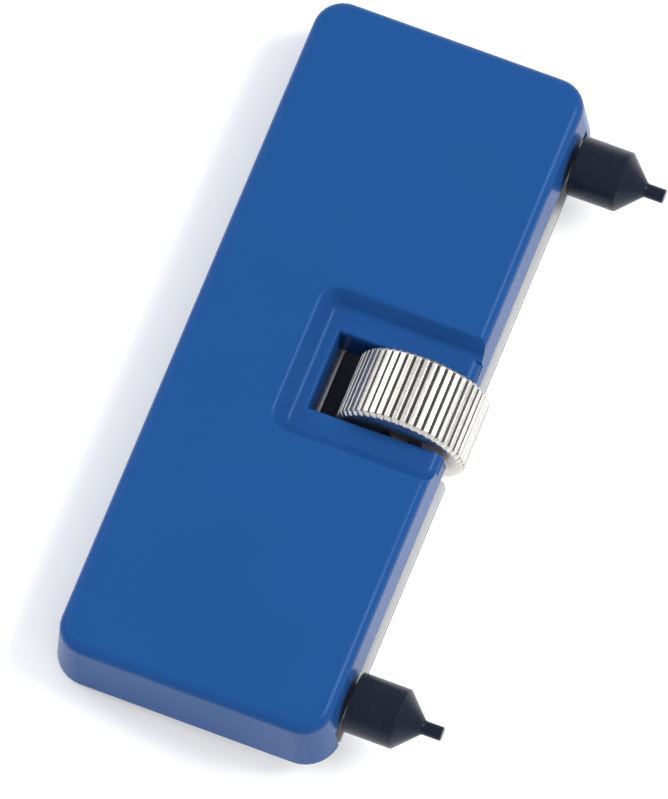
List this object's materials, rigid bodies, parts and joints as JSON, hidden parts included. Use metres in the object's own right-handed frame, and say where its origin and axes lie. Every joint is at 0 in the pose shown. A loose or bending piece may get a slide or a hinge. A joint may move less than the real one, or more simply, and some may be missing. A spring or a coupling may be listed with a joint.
{
  "type": "case back opener",
  "caption": "Flat pocket case back opener: a thumb wheel drives a left- and right-hand lead screw that moves two pin-ended jaws in and out together.",
  "frame": {"origin": "middle of the thumb wheel, on the lead screw's axis", "axes": "+X along the lead screw, -Y the way the jaws point, +Z out of the shell's top face"},
  "size_m": [0.092, 0.0486, 0.017],
  "materials": {
    "blue_paint": "semi-gloss blue enamel on die-cast zinc",
    "nickel_plate": "nickel plated sheet steel",
    "nickel_wheel": "nickel plated brass, straight knurl",
    "black_steel": "satin black oxide on hardened steel",
    "steel": "bright turned steel",
    "brass": "plain machined brass"
  },
  "bodies": {
    "case": {"top_shell": "blue_paint", "base_plate": "nickel_plate", "base_screws": "steel", "thrust_washer_left": "black_steel", "thrust_washer_right": "black_steel", "centre_bearing_left": "black_steel", "centre_bearing_right": "black_steel", "end_bearing_left": "brass", "end_bearing_right": "brass", "guide_rod": "steel"},
    "drive_screw": {"lead_screw": "steel", "thumb_wheel": "nickel_wheel", "wheel_grub_screw": "black_steel"},
    "left_slide": {"carrier_left": "steel", "nut_left": "brass", "jaw_left": "black_steel", "jaw_pin_left": "steel"},
    "right_slide": {"carrier_right": "steel", "nut_right": "brass", "jaw_right": "black_steel", "jaw_pin_right": "steel"}
  },
  "joints": [
    {"name": "wheel_turn", "type": "hinge", "parent": "case", "child": "drive_screw", "pos_m": [0, 0, 0], "axis": [1, 0, 0], "range_deg": [0, 9215]},
    {"name": "left_jaw_travel", "type": "slide", "parent": "case", "child": "left_slide", "axis": [1, 0, 0], "range_m": [0, 0.0256]},
    {"name": "right_jaw_travel", "type": "slide", "parent": "case", "child": "right_slide", "axis": [-1, 0, 0], "range_m": [0, 0.0256]}
  ],
  "couplings": [
    {"joint": "left_jaw_travel", "follows": "wheel_turn", "m_per_rad": 0.00015915},
    {"joint": "right_jaw_travel", "follows": "wheel_turn", "m_per_rad": 0.00015915}
  ]
}
